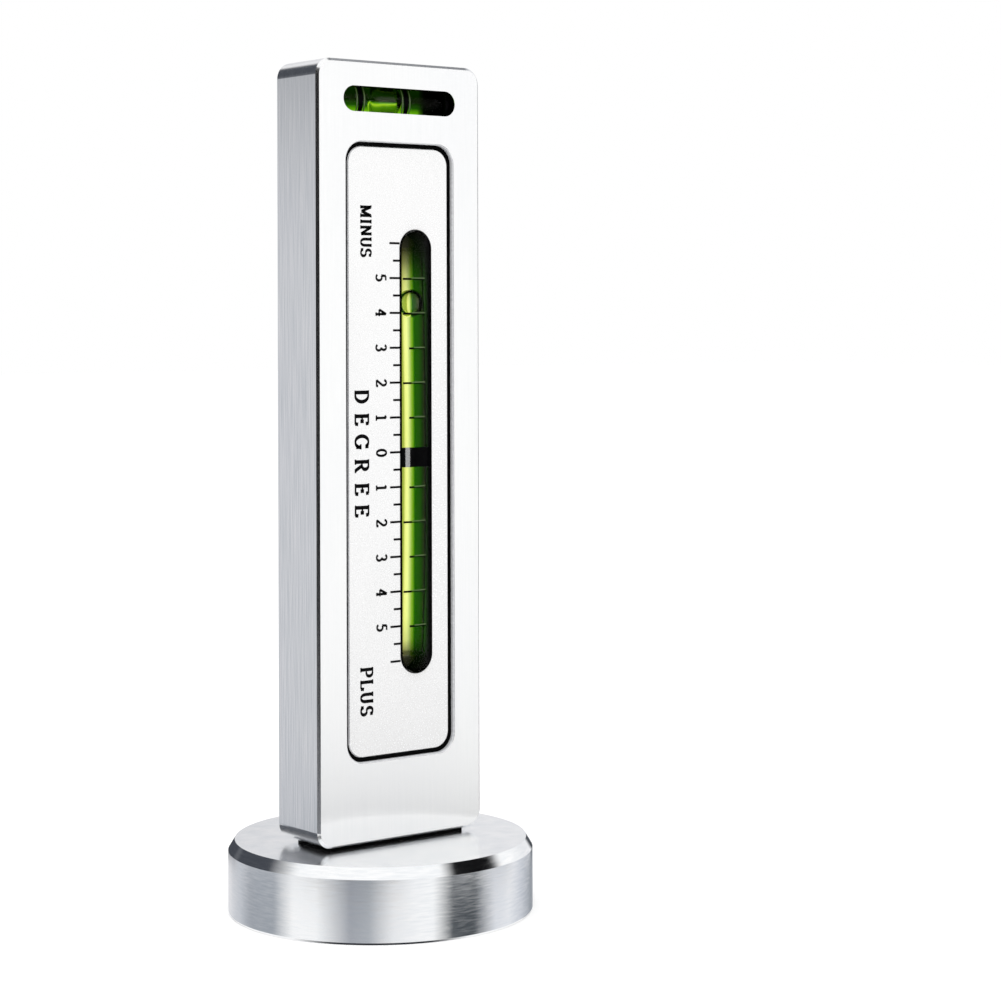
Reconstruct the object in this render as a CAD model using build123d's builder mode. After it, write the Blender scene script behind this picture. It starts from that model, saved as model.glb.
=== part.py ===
# Camber and caster gauge: a milled aluminium bar that carries two spirit levels and stands upright
# on a round magnetic base. The long level reads tilt in degrees, and the short one shows that the
# bar isn't rolled. Millimetres. The origin is the centre of the underside of the base, +Z points up
# along the bar, and the face with the two windows looks towards -Y.
import os
from math import cos, degrees, radians, sin, tan

from build123d import *

os.makedirs("parts", exist_ok=True)

# ---- driving sizes -------------------------------------------------------------------------------

# Bar
bar_width = 26.0
bar_depth = 9.6
bar_height = 101.0
bar_corner = 2.2  # radius of the four corners seen from the front
bar_edge_bevel = 0.35  # along the outline of the front and back faces

# Pocket for the scale plate, milled in the front face
pocket_width = 17.0
pocket_height = 80.0
pocket_corner = 2.5
pocket_lip = 0.15  # bevel around the pocket's mouth
pocket_middle = 50.5  # height of the middle of the scale above the bar's foot

# Scale plate and the black rubber gasket it lies in
plate_margin = 0.5  # from the plate's edge to the pocket wall
plate_sink = 0.5  # how far the plate's face lies below the bar's face
plate_thickness = 0.8
plate_bevel = 0.15
gasket_floor = 0.2  # rubber under the plate
gasket_drop = 0.1  # how far the gasket's rim lies below the plate's face
gasket_border = 1.6  # width of the rubber left around the opening under the plate
seat_gap = 0.03  # clearance between pieces that are seated in one another

# Long level, a bar of clear plastic that fills the plate's window
window_x = 2.75  # the window lies right of the plate's middle
window_drop = 0.25  # and its middle, where the scale reads zero, this far below the plate's
window_width = 5.1
window_height = 58.2
window_gap = 0.05  # between the edge of the window and the vial
vial_sink = 0.1  # from the bar's face to the crest of the vial's crowned front
vial_crown = 0.35  # from that crest to the long edges of the front
vial_depth = 5.7
vial_wall = 0.35  # plastic in front of the bore, at the middle of the vial
vial_bore = 3.5
bore_offset = 0.3  # the bore lies this far right of the vial's middle
bore_length = 53.2
degree_spacing = 4.54  # travel of the bubble for one degree
vial_plug_length = 1.3
bubble_length = 3.5
bubble_diameter = 3.2
bubble_travel_at_rest = 19.45  # above the zero of the scale, a little over four degrees

# Black cradle that holds the long vial, and the white strip that lies in it behind the vial
bed_thickness = 0.3
bed_margin = 0.2  # the strip is this much smaller than the vial on each side
cradle_floor = 0.35
cradle_wall = 0.45

# Short level across the top of the bar
cross_height = 96.0  # above the bar's foot
cross_window_width = 17.8
cross_window_height = 3.3
cross_bore_diameter = 6.1  # drilled in from the right side of the bar
cross_vial_diameter = 6.0
cross_vial_length = 20.0
cross_vial_left = 11.6  # the vial's left end lies this far left of the bar's middle
cross_vial_sink = 1.4
cross_vial_wall = 0.6
cross_vial_bore = 3.8
cross_curve_radius = 100.0
cross_plug_diameter = 5.0
cross_plug_length = 2.0
cross_bubble_length = 5.2
cross_bubble_diameter = 2.9
cross_bubble_offset = 1.25  # right of the vial's middle
stopper_inset = 0.2  # the bore's stopper ends this far inside the bar's side

# Magnetic base
base_diameter = 40.0
base_height = 9.5
base_bevel_width = 0.85
base_bevel_height = 1.4
base_edge_break = 0.3
cup_wall = 2.2
cup_web = 3.0
core_diameter = 13.0
glue_gap = 0.1  # glue on both sides of the ring magnet
magnet_inset = 0.3  # the magnet lies this far above the contact face

# Foot gasket and centre screw
foot_gasket_thickness = 0.4
foot_gasket_inset = 0.35
screw_diameter = 5.0
screw_length = 18.0
screw_head_diameter = 9.2
screw_inset = 0.4  # the head lies this far above the contact face
screw_socket = 3.0  # across the flats of the hexagon
screw_socket_depth = 1.6
screw_clearance = 0.25
thread_clearance = 0.1
tapped_depth = 10.0

# Clearances inside the levels
spirit_film = 0.02  # between the spirit and the glass
bubble_gap = 0.12  # between a bubble and the front of its bore
bubble_skin = 0.03  # between a bubble and the spirit around it
end_gap = 0.15  # left beside a bubble at the end of its travel
bubble_taper = 0.5  # share of a bubble's radius that its ends taper off
bend_runs = 6  # straight runs in which a bore follows its bend
bore_overrun = 0.5  # how far a bore runs on into the seats of its plugs

# ---- places that follow from them ----------------------------------------------------------------

bar_foot = base_height + foot_gasket_thickness
bar_middle = bar_foot + bar_height / 2
scale_middle = bar_foot + pocket_middle
cross_middle = bar_foot + cross_height
pocket_depth = plate_sink + plate_thickness + gasket_floor
plate_width = pocket_width - 2 * plate_margin
plate_height = pocket_height - 2 * plate_margin
plate_corner = pocket_corner - plate_margin / 2

curve_radius = degree_spacing / tan(radians(1.0))
level_middle = scale_middle - window_drop
vial_width = window_width - 2 * window_gap
vial_length = window_height - 2 * window_gap
vial_back = vial_sink + vial_depth
bore_x = window_x + bore_offset
bore_sink = vial_sink + vial_wall + vial_bore / 2
bore_half_length = bore_length / 2
bed_sink = vial_back + seat_gap
cradle_depth = bed_sink + bed_thickness + seat_gap + cradle_floor

cross_vial_middle = cross_vial_length / 2 - cross_vial_left
cross_vial_right = cross_vial_length - cross_vial_left
cross_axis_sink = cross_vial_sink + cross_vial_diameter / 2
cross_bore_sink = cross_vial_sink + cross_vial_wall + cross_vial_bore / 2
cross_half_length = cross_vial_length / 2 - cross_plug_length

base_radius = base_diameter / 2
cavity_radius = base_radius - cup_wall
cavity_height = base_height - cup_web


def level(sink):
    # Y of a point that lies sink behind the bar's front face
    return sink - bar_depth / 2


long_centre = Vector(bore_x, level(bore_sink) + curve_radius, level_middle)
short_centre = Vector(cross_vial_middle, level(cross_bore_sink) + cross_curve_radius, cross_middle)


def front(x, z, sink):
    # A plane parallel to the front face, facing the viewer, sunk behind that face
    return Plane(origin=(x, level(sink), z), x_dir=(1, 0, 0), z_dir=(0, -1, 0))


def upward(x, y, z):
    return Plane(origin=(x, y, z), x_dir=(1, 0, 0), z_dir=(0, 0, 1))


def rightward(x, y, z):
    return Plane(origin=(x, y, z), x_dir=(0, 1, 0), z_dir=(1, 0, 0))


# Both bores are bent to a circle whose centre lies behind the bar, so the middle of each bore is
# nearest to the front and a bubble climbs to the point that lies uppermost.
def across_long_bore(travel):
    # Across the long bore, at a distance travelled upwards along it from its middle
    turn = travel / curve_radius
    return Plane(
        origin=long_centre + Vector(0, -cos(turn), sin(turn)) * curve_radius,
        x_dir=(1, 0, 0),
        z_dir=(0, sin(turn), cos(turn)),
    )


def across_short_bore(travel):
    # Across the short bore, at a distance travelled to the right along it from its middle
    turn = travel / cross_curve_radius
    return Plane(
        origin=short_centre + Vector(sin(turn), -cos(turn), 0) * cross_curve_radius,
        x_dir=(0, 0, -1),
        z_dir=(cos(turn), sin(turn), 0),
    )


def bent_bar(plane_at, half_length, radius, mode=Mode.ADD):
    # A round bar that follows a bore's arc in short straight runs, within a few hundredths of a
    # millimetre of the true bend
    run = 2 * half_length / bend_runs
    with BuildLine() as path:
        Polyline(*(plane_at(n * run - half_length).origin for n in range(bend_runs + 1)))
    with BuildSketch(path.line ^ 0) as section:
        Circle(radius)
    sweep(section.sketch, path=path.line, transition=Transition.RIGHT, mode=mode)


def round_bar(plane, radius, length, mode=Mode.ADD):
    with BuildSketch(plane) as section:
        Circle(radius)
    extrude(section.sketch, amount=length, mode=mode)


def bubble_shape(plane_at, travel, bore, length, diameter, skin=0, mode=Mode.ADD):
    # A straight bubble with tapered ends. It's raised towards the front of the bore, because it's
    # lighter than the spirit.
    across = plane_at(travel)
    middle = across.origin - across.y_dir * (bore / 2 - bubble_gap - diameter / 2)
    along = Plane(origin=middle, x_dir=across.z_dir, z_dir=across.x_dir)
    end = length / 2 + skin
    side = diameter / 2 + skin
    taper = side * bubble_taper
    with BuildSketch(along) as half:
        with BuildLine():
            Polyline(
                (-end, 0),
                (-end, side - taper),
                (-end + taper, side),
                (end - taper, side),
                (end, side - taper),
                (end, 0),
                close=True,
            )
        make_face()
    revolve(half.sketch, axis=Axis(along.origin, along.x_dir), mode=mode)


def vial_outline(margin=0):
    # The long vial's round-ended outline seen from the front, with a margin all round
    SlotOverall(vial_length + 2 * margin, vial_width + 2 * margin, rotation=90)


def plug_seat(end, radius, length, mode=Mode.ADD, start=0):
    # A round bar that carries on straight from the upper (1) or lower (-1) end of the long bore
    across = across_long_bore(end * (bore_half_length + start))
    seat = Plane(origin=across.origin, x_dir=across.x_dir, z_dir=across.z_dir * end)
    round_bar(seat, radius, length, mode)


def save(builder, name):
    builder.part.label = name
    export_step(builder.part, f"parts/{name}.step")


# ---- bar -----------------------------------------------------------------------------------------

with BuildPart() as bar:
    with BuildSketch(front(0, bar_middle, 0)):
        RectangleRounded(bar_width, bar_height, bar_corner)
    extrude(amount=-bar_depth)
    outline_faces = bar.faces().filter_by(Axis.Y)
    chamfer(outline_faces.edges(), bar_edge_bevel)

    # Pocket for the scale plate, with a bevelled lip
    with BuildSketch(front(0, scale_middle, 0)):
        RectangleRounded(pocket_width, pocket_height, pocket_corner)
    extrude(amount=-pocket_depth, mode=Mode.SUBTRACT)
    front_face = bar.faces().filter_by(Axis.Y).sort_by(Axis.Y)[0]
    chamfer(front_face.inner_wires()[0].edges(), pocket_lip)

    # Trench for the long vial and its cradle, milled from the pocket's floor
    with BuildSketch(front(window_x, level_middle, pocket_depth)):
        vial_outline(cradle_wall + 2 * seat_gap)
    extrude(amount=pocket_depth - cradle_depth - seat_gap, mode=Mode.SUBTRACT)

    # Bore for the short vial, open at the right side, and its window in the front face
    bore_end = cross_vial_left + seat_gap
    bore_bottom = rightward(-bore_end, level(cross_axis_sink), cross_middle)
    round_bar(bore_bottom, cross_bore_diameter / 2, bore_end + bar_width / 2, Mode.SUBTRACT)
    with BuildSketch(front(0, cross_middle, 0)):
        SlotOverall(cross_window_width, cross_window_height)
    extrude(amount=-cross_axis_sink, mode=Mode.SUBTRACT)

    # Tapped hole in the foot
    with Locations(Plane(origin=(0, 0, bar_foot), x_dir=(1, 0, 0), z_dir=(0, 0, -1))):
        Hole(screw_diameter / 2, tapped_depth)

save(bar, "bar")

# ---- scale plate and gasket ----------------------------------------------------------------------

with BuildPart() as scale_plate:
    with BuildSketch(front(0, scale_middle, plate_sink)):
        RectangleRounded(plate_width, plate_height, plate_corner)
    extrude(amount=-plate_thickness)
    plate_face = scale_plate.faces().filter_by(Axis.Y).sort_by(Axis.Y)[0]
    chamfer(plate_face.edges(), plate_bevel)
    with BuildSketch(front(window_x, level_middle, plate_sink)):
        vial_outline(window_gap)
    extrude(amount=-plate_thickness, mode=Mode.SUBTRACT)

save(scale_plate, "scale_plate")

with BuildPart() as plate_gasket:
    gasket_top = plate_sink + gasket_drop
    with BuildSketch(front(0, scale_middle, gasket_top)):
        gasket_width = pocket_width - 2 * seat_gap
        gasket_height = pocket_height - 2 * seat_gap
        RectangleRounded(gasket_width, gasket_height, pocket_corner - seat_gap)
    extrude(amount=gasket_top - pocket_depth)
    with BuildSketch(front(0, scale_middle, gasket_top)):
        tray_width = plate_width + 2 * seat_gap
        tray_height = plate_height + 2 * seat_gap
        RectangleRounded(tray_width, tray_height, plate_corner + seat_gap)
    extrude(amount=gasket_drop - plate_thickness, mode=Mode.SUBTRACT)
    with BuildSketch(front(0, scale_middle, gasket_top)):
        opening_width = plate_width - 2 * gasket_border
        opening_height = plate_height - 2 * gasket_border
        RectangleRounded(opening_width, opening_height, plate_corner)
    extrude(amount=gasket_top - pocket_depth, mode=Mode.SUBTRACT)

save(plate_gasket, "plate_gasket")

# ---- long level ----------------------------------------------------------------------------------

with BuildPart() as vial_cradle:
    with BuildSketch(front(window_x, level_middle, pocket_depth)):
        vial_outline(cradle_wall + seat_gap)
    extrude(amount=pocket_depth - cradle_depth)
    with BuildSketch(front(window_x, level_middle, pocket_depth)):
        vial_outline(seat_gap)
    extrude(amount=pocket_depth - cradle_depth + cradle_floor, mode=Mode.SUBTRACT)

save(vial_cradle, "vial_cradle")

with BuildPart() as vial_bed:
    with BuildSketch(front(window_x, level_middle, bed_sink)):
        vial_outline(-bed_margin)
    extrude(amount=-bed_thickness)

save(vial_bed, "vial_bed")

with BuildPart() as camber_vial:
    with BuildSketch(front(window_x, level_middle, vial_sink)):
        vial_outline()
    extrude(amount=-vial_depth)
    # The front is crowned across the vial: the part keeps what lies behind an arc along its length
    with BuildSketch(upward(window_x, 0, level_middle - vial_length / 2)) as crowned:
        with BuildLine():
            left_edge = (-vial_width / 2, level(vial_sink + vial_crown))
            right_edge = (vial_width / 2, level(vial_sink + vial_crown))
            ThreePointArc(left_edge, (0, level(vial_sink)), right_edge)
            Polyline(
                right_edge,
                (vial_width / 2, level(vial_back)),
                (-vial_width / 2, level(vial_back)),
                left_edge,
            )
        make_face()
    extrude(crowned.sketch, amount=vial_length, mode=Mode.INTERSECT)
    bent_bar(across_long_bore, bore_half_length, vial_bore / 2, Mode.SUBTRACT)
    for end in (1, -1):
        plug_seat(end, vial_bore / 2, vial_length, Mode.SUBTRACT)

save(camber_vial, "camber_vial")

for plug_name, end in {"camber_plug_lower": -1, "camber_plug_upper": 1}.items():
    with BuildPart() as camber_plug:
        plug_seat(end, vial_bore / 2 - seat_gap, vial_plug_length, start=seat_gap)
    save(camber_plug, plug_name)

with BuildPart() as camber_bubble:
    long_bubble = (
        across_long_bore,
        bubble_travel_at_rest,
        vial_bore,
        bubble_length,
        bubble_diameter,
    )
    bubble_shape(*long_bubble)

save(camber_bubble, "camber_bubble")

with BuildPart() as camber_spirit:
    spirit_half = bore_half_length - spirit_film
    bent_bar(across_long_bore, spirit_half, vial_bore / 2 - spirit_film)
    bubble_shape(*long_bubble, bubble_skin, Mode.SUBTRACT)

save(camber_spirit, "camber_spirit")

# ---- short level ---------------------------------------------------------------------------------

cross_y = level(cross_axis_sink)

with BuildPart() as cross_vial:
    vial_end = rightward(-cross_vial_left, cross_y, cross_middle)
    round_bar(vial_end, cross_vial_diameter / 2, cross_vial_length)
    short_reach = cross_half_length + bore_overrun
    bent_bar(across_short_bore, short_reach, cross_vial_bore / 2, Mode.SUBTRACT)
    for end in (-cross_vial_left, cross_vial_right - cross_plug_length):
        seat = rightward(end, cross_y, cross_middle)
        round_bar(seat, cross_plug_diameter / 2, cross_plug_length, Mode.SUBTRACT)

save(cross_vial, "cross_vial")

plug_places = {
    "cross_plug_left": -cross_vial_left,
    "cross_plug_right": cross_vial_right - cross_plug_length + seat_gap,
}
for plug_name, plug_x in plug_places.items():
    with BuildPart() as cross_plug:
        plug_plane = rightward(plug_x, cross_y, cross_middle)
        round_bar(plug_plane, cross_plug_diameter / 2 - seat_gap, cross_plug_length - seat_gap)
    save(cross_plug, plug_name)

with BuildPart() as cross_bubble:
    short_bubble = (
        across_short_bore,
        cross_bubble_offset,
        cross_vial_bore,
        cross_bubble_length,
        cross_bubble_diameter,
    )
    bubble_shape(*short_bubble)

save(cross_bubble, "cross_bubble")

with BuildPart() as cross_spirit:
    bent_bar(across_short_bore, short_reach, cross_vial_bore / 2 - spirit_film)
    spirit_half = cross_half_length - spirit_film
    split(bisect_by=rightward(cross_vial_middle - spirit_half, cross_y, cross_middle))
    right_end = rightward(cross_vial_middle + spirit_half, cross_y, cross_middle)
    split(bisect_by=right_end, keep=Keep.BOTTOM)
    bubble_shape(*short_bubble, bubble_skin, Mode.SUBTRACT)

save(cross_spirit, "cross_spirit")

with BuildPart() as bore_stopper:
    stopper_start = cross_vial_right + seat_gap
    stopper_end = bar_width / 2 - stopper_inset
    stopper_plane = rightward(stopper_start, cross_y, cross_middle)
    round_bar(stopper_plane, cross_bore_diameter / 2 - seat_gap, stopper_end - stopper_start)

save(bore_stopper, "bore_stopper")

# ---- magnetic base -------------------------------------------------------------------------------

screw_hole_radius = screw_diameter / 2 + screw_clearance

with BuildPart() as base_cup:
    with BuildSketch(Plane.XZ):
        with BuildLine():
            Polyline(
                (screw_hole_radius, cavity_height),
                (cavity_radius, cavity_height),
                (cavity_radius, 0),
                (base_radius - base_edge_break, 0),
                (base_radius, base_edge_break),
                (base_radius, base_height - base_bevel_height),
                (base_radius - base_bevel_width, base_height),
                (screw_hole_radius, base_height),
                close=True,
            )
        make_face()
    revolve(axis=Axis.Z)

save(base_cup, "base_cup")

core_radius = core_diameter / 2
magnet_outer = cavity_radius - glue_gap
magnet_inner = core_radius + glue_gap
magnet_height = cavity_height - magnet_inset - seat_gap

with BuildPart() as ring_magnet:
    with BuildSketch(upward(0, 0, magnet_inset)):
        Circle(magnet_outer)
        Circle(magnet_inner, mode=Mode.SUBTRACT)
    extrude(amount=magnet_height)

save(ring_magnet, "ring_magnet")

with BuildPart() as core:
    round_bar(Plane.XY, core_radius, cavity_height - seat_gap)
    countersink = screw_head_diameter / 2 + screw_inset + screw_clearance
    with Locations(Plane(origin=(0, 0, 0), x_dir=(1, 0, 0), z_dir=(0, 0, -1))):
        CounterSinkHole(screw_hole_radius, countersink, counter_sink_angle=90)

save(core, "core")

# ---- foot gasket and centre screw ----------------------------------------------------------------

with BuildPart() as foot_gasket:
    with BuildSketch(upward(0, 0, base_height + seat_gap)):
        pad_width = bar_width - 2 * (bar_corner + foot_gasket_inset)
        pad_depth = bar_depth - 2 * (bar_edge_bevel + foot_gasket_inset)
        RectangleRounded(pad_width, pad_depth, bar_edge_bevel)
        Circle(screw_hole_radius, mode=Mode.SUBTRACT)
    extrude(amount=foot_gasket_thickness - 2 * seat_gap)

save(foot_gasket, "foot_gasket")

with BuildPart() as centre_screw:
    shank_radius = screw_diameter / 2 - thread_clearance
    head_radius = screw_head_diameter / 2
    head_height = head_radius - shank_radius
    screw_tip = screw_inset + screw_length
    with BuildSketch(Plane.XZ):
        with BuildLine():
            Polyline(
                (0, screw_inset),
                (head_radius, screw_inset),
                (shank_radius, screw_inset + head_height),
                (shank_radius, screw_tip),
                (0, screw_tip),
                close=True,
            )
        make_face()
    revolve(axis=Axis.Z)
    with BuildSketch(upward(0, 0, screw_inset)):
        RegularPolygon(screw_socket / 2, 6, major_radius=False)
    extrude(amount=screw_socket_depth, mode=Mode.SUBTRACT)

save(centre_screw, "centre_screw")

# How far each bubble can travel from where it rests, for the joints' limits
long_end = bore_half_length - bubble_length / 2 - end_gap
cross_end = cross_half_length - cross_bubble_length / 2 - end_gap
for title, radius, rest, end in (
    ("long level", curve_radius, bubble_travel_at_rest, long_end),
    ("short level", cross_curve_radius, cross_bubble_offset, cross_end),
):
    down = degrees((-end - rest) / radius)
    up = degrees((end - rest) / radius)
    print(f"{title}: bend radius {radius:.2f} mm, travel {down:.3f} to {up:.3f} degrees")
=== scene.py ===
from math import cos, hypot, pi, radians, sin

import bmesh
import bpy
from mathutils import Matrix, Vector


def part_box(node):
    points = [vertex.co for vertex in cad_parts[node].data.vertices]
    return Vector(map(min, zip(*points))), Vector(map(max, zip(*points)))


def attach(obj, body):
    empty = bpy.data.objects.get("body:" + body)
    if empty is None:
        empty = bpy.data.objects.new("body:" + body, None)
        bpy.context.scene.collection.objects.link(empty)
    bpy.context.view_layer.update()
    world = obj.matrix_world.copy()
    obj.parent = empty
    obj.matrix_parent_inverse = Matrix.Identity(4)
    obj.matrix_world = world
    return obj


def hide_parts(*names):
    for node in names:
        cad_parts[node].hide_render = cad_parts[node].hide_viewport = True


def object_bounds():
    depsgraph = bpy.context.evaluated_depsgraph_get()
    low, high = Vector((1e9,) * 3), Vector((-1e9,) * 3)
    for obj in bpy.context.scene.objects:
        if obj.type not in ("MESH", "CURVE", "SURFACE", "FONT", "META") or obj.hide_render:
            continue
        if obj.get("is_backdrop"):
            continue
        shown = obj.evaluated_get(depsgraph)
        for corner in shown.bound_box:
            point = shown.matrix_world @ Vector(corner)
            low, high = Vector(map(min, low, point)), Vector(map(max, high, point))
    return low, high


# Camber caster gauge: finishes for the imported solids, the liquid and bubbles in the two vials,
# the printed scale, the studio and the camera. Lengths in the dictionaries are millimetres.
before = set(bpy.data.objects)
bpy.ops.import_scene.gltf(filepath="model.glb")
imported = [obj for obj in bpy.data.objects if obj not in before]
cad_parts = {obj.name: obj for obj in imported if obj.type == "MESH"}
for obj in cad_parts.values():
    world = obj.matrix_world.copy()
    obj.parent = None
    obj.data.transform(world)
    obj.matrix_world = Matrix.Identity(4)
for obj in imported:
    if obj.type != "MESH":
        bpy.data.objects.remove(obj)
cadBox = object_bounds()
mm = 0.001
noiseSpan = (0.3, 0.7)  # nearly all of a noise texture's values lie between these
driftSpan = (0.35, 0.65)  # and between these a drift or a streak of tone fades out to white


def hexToLinear(code):
    channels = [int(code[i:i + 2], 16) / 255 for i in (1, 3, 5)]
    linear = [c / 12.92 if c <= 0.04045 else ((c + 0.055) / 1.055) ** 2.4 for c in channels]
    return (*linear, 1.0)


white = hexToLinear("#ffffff")


def addNode(tree, kind, inputs=None, stops=None, **settings):
    # an input is a plain value, or (node, output) to link from; stops are (place, hex) of a ramp
    node = tree.nodes.new("ShaderNode" + kind)
    for key, value in settings.items():
        setattr(node, key, value)
    for key, value in (inputs or {}).items():
        if isinstance(value, tuple) and isinstance(value[0], bpy.types.Node):
            tree.links.new(value[0].outputs[value[1]], node.inputs[key])
        else:
            node.inputs[key].default_value = value
    if stops:
        ramp = node.color_ramp.elements
        ramp[0].position, ramp[0].color = stops[0][0], hexToLinear(stops[0][1])
        ramp[1].position, ramp[1].color = stops[-1][0], hexToLinear(stops[-1][1])
        for position, colour in stops[1:-1]:
            ramp.new(position).color = hexToLinear(colour)
    return node


def startMaterial(name):
    material = bpy.data.materials.new(name)
    material.use_nodes = True
    material.node_tree.nodes.clear()
    return material, material.node_tree


def addPattern(tree, place, grain, detail, tones, span=noiseSpan):
    # noise whose cells are as large as grain, in millimetres, and the two tones that it runs between
    scale = [1 / (size * mm) for size in grain]
    cell = addNode(tree, "Mapping", {"Vector": (place, "Object"), "Scale": scale})
    noise = addNode(tree, "TexNoise", {"Vector": (cell, 0), "Scale": 1.0, "Detail": detail})
    tone = addNode(tree, "ValToRGB", {"Fac": (noise, "Fac")}, list(zip(span, tones)))
    return noise, tone


def addSkin(tree, noise, look):
    # the same noise breaks up the gloss and lifts the surface
    least, most = look["roughness"]
    rough = addNode(tree, "MapRange", {"Value": (noise, "Fac"), "From Min": noiseSpan[0],
                                       "From Max": noiseSpan[1], "To Min": least, "To Max": most})
    bump = addNode(tree, "Bump", {"Height": (noise, "Fac"), "Strength": 1.0,
                                  "Distance": look["relief"] * mm})
    return rough, bump


def dress(material, *nodes):
    for node in nodes:
        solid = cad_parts[node]
        solid.data.materials.clear()
        solid.data.materials.append(material)


def middleOf(node):
    low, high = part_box(node)
    return (Vector(low) + Vector(high)) / 2


# How squarely a face has to look up, sideways or forwards before its own finish starts and is full
squareness = {"top": (0.93, 0.99), "side": (0.8, 0.98), "front": (0.9, 0.98)}


# Metals: grain colours the face and roughens it, cloud is a slow drift of tone over it
def metalFinish(name, look):
    material, tree = startMaterial(name)
    place = addNode(tree, "TexCoord")
    fine, grainTone = addPattern(tree, place, look["grain"], look["detail"], (look["dark"], look["light"]))
    cloudTone = addPattern(tree, place, look["cloud"], 2.0, (look["shade"], "#ffffff"), driftSpan)[1]
    tone = addNode(tree, "Mix", {0: 1.0, 6: (grainTone, 0), 7: (cloudTone, 0)},
                   data_type="RGBA", blend_type="MULTIPLY")
    rough, bump = addSkin(tree, fine, look)
    facing = addNode(tree, "SeparateXYZ", {0: (addNode(tree, "NewGeometry"), "True Normal")})
    if "top" in look:  # faces turned upwards are duller
        start, full = squareness["top"]
        upward = addNode(tree, "MapRange", {"Value": (facing, "Z"), "From Min": start, "From Max": full})
        rough = addNode(tree, "Mix", {0: (upward, 0), 2: (rough, 0), 3: look["top"]})
    if "side" in look:  # the narrow sides show more of the grain
        start, full = squareness["side"]
        square = addNode(tree, "Math", {0: (facing, "X"), 1: (facing, "X")}, operation="MULTIPLY")
        sideways = addNode(tree, "MapRange", {"Value": (square, 0), "From Min": start, "From Max": full})
        streak = addNode(tree, "ValToRGB", {"Fac": (fine, "Fac")},
                         list(zip(driftSpan, (look["side"], "#ffffff"))))
        tone = addNode(tree, "Mix", {0: (sideways, 0), 6: (tone, 2), 7: (streak, 0)},
                       data_type="RGBA", blend_type="MULTIPLY")
    # broad faces to the front and back scatter some light in the oxide, eased edges only mirror
    start, full = squareness["front"]
    level = addNode(tree, "Math", {0: (facing, "Y"), 1: (facing, "Y")}, operation="MULTIPLY")
    metallic = addNode(tree, "MapRange", {"Value": (level, 0), "From Min": start, "From Max": full,
                                          "To Min": 1.0, "To Max": look.get("metallic", 1.0)})
    surface = addNode(tree, "BsdfPrincipled", {
        "Base Color": (tone, 2), "Metallic": (metallic, 0), "Roughness": (rough, 0), "Normal": (bump, 0)})
    output = addNode(tree, "OutputMaterial", {"Surface": (surface, 0)})
    for cut in look.get("cuts", ()):
        surface = cutWalls(tree, place, surface, cut)
    tree.links.new(surface.outputs[0], output.inputs["Surface"])
    return material


def cutWalls(tree, place, face, cut):
    # the walls of a pocket or window cut into the bar, with a finish of their own
    low, high = (Vector(corner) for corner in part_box(cut["round"]))
    middle, half = (low + high) / 2, (high - low) / 2 + Vector((1, 1, 1)) * cut["margin"] * mm
    parts = addNode(tree, "SeparateXYZ", {0: (place, "Object")})
    inWidth = addNode(tree, "Math", {0: (parts, "X"), 1: middle.x, 2: half.x}, operation="COMPARE")
    inHeight = addNode(tree, "Math", {0: (parts, "Z"), 1: middle.z, 2: half.z}, operation="COMPARE")
    inFace = addNode(tree, "Math", {0: (inWidth, 0), 1: (inHeight, 0)}, operation="MULTIPLY")
    barLow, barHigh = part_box("bar")
    front, back = barLow[1] + cut["behind"] * mm, barHigh[1] - cut["shy"] * mm
    inDepth = addNode(tree, "Math", {0: (parts, "Y"), 1: (front + back) / 2, 2: (back - front) / 2},
                      operation="COMPARE")
    walls = addNode(tree, "Math", {0: (inFace, 0), 1: (inDepth, 0)}, operation="MULTIPLY")
    tone = addPattern(tree, place, cut["grain"], 2.0, (cut["dark"], cut["light"]))[1]
    wall = addNode(tree, "BsdfPrincipled", {
        "Base Color": (tone, 0), "Metallic": cut["metallic"], "Roughness": cut["roughness"],
        "Specular IOR Level": cut["specular"]})
    return addNode(tree, "MixShader", {0: (walls, 0), 1: (face, 0), 2: (wall, 0)})


# Plastics, rubber, ink and ferrite: a close mottle that also breaks up the gloss
def mottledFinish(name, look):
    material, tree = startMaterial(name)
    place = addNode(tree, "TexCoord")
    mottle, tone = addPattern(tree, place, look["grain"], 3.0, (look["dark"], look["light"]))
    rough, bump = addSkin(tree, mottle, look)
    surface = addNode(tree, "BsdfPrincipled", {
        "Base Color": (tone, 0), "Roughness": (rough, 0), "Normal": (bump, 0),
        "Specular IOR Level": look.get("specular", 0.5)})
    addNode(tree, "OutputMaterial", {"Surface": (surface, 0)})
    return material


# Aluminium, clear anodised and linished lengthwise: a soft white sheen with fine upright lines,
# drawn 0.2 mm apart because the real ones are too fine to show
linishedAluminium = {"dark": "#fafbfb", "light": "#ffffff", "grain": (0.2, 0.2, 9.0), "detail": 3.0,
                     "cloud": (12, 12, 24), "shade": "#fdfdfe", "roughness": (0.15, 0.2), "relief": 0.0008,
                     "metallic": 0.6, "side": "#eceef0", "cuts": (
                         # the pocket's milled walls are paler and duller than the face
                         {"round": "plate_gasket", "margin": 0.25, "behind": 0.02, "shy": 0.8,
                          "metallic": 0.2, "roughness": 0.5, "specular": 0.5,
                          "grain": (0.8, 0.8, 0.3), "dark": "#d4d5d8", "light": "#e9eaec"},
                         # and the short level's window and bore walls are painted shade: near black without
                         # shine
                         {"round": "cross_vial", "margin": 0.6, "behind": 0.06, "shy": 0.8,
                          "metallic": 0.2, "roughness": 0.5, "specular": 0.0,
                          "grain": (0.6, 0.6, 0.6), "dark": "#020202", "light": "#060606"})}
dress(metalFinish("anodisedAluminiumLinished", linishedAluminium), "bar")

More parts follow.
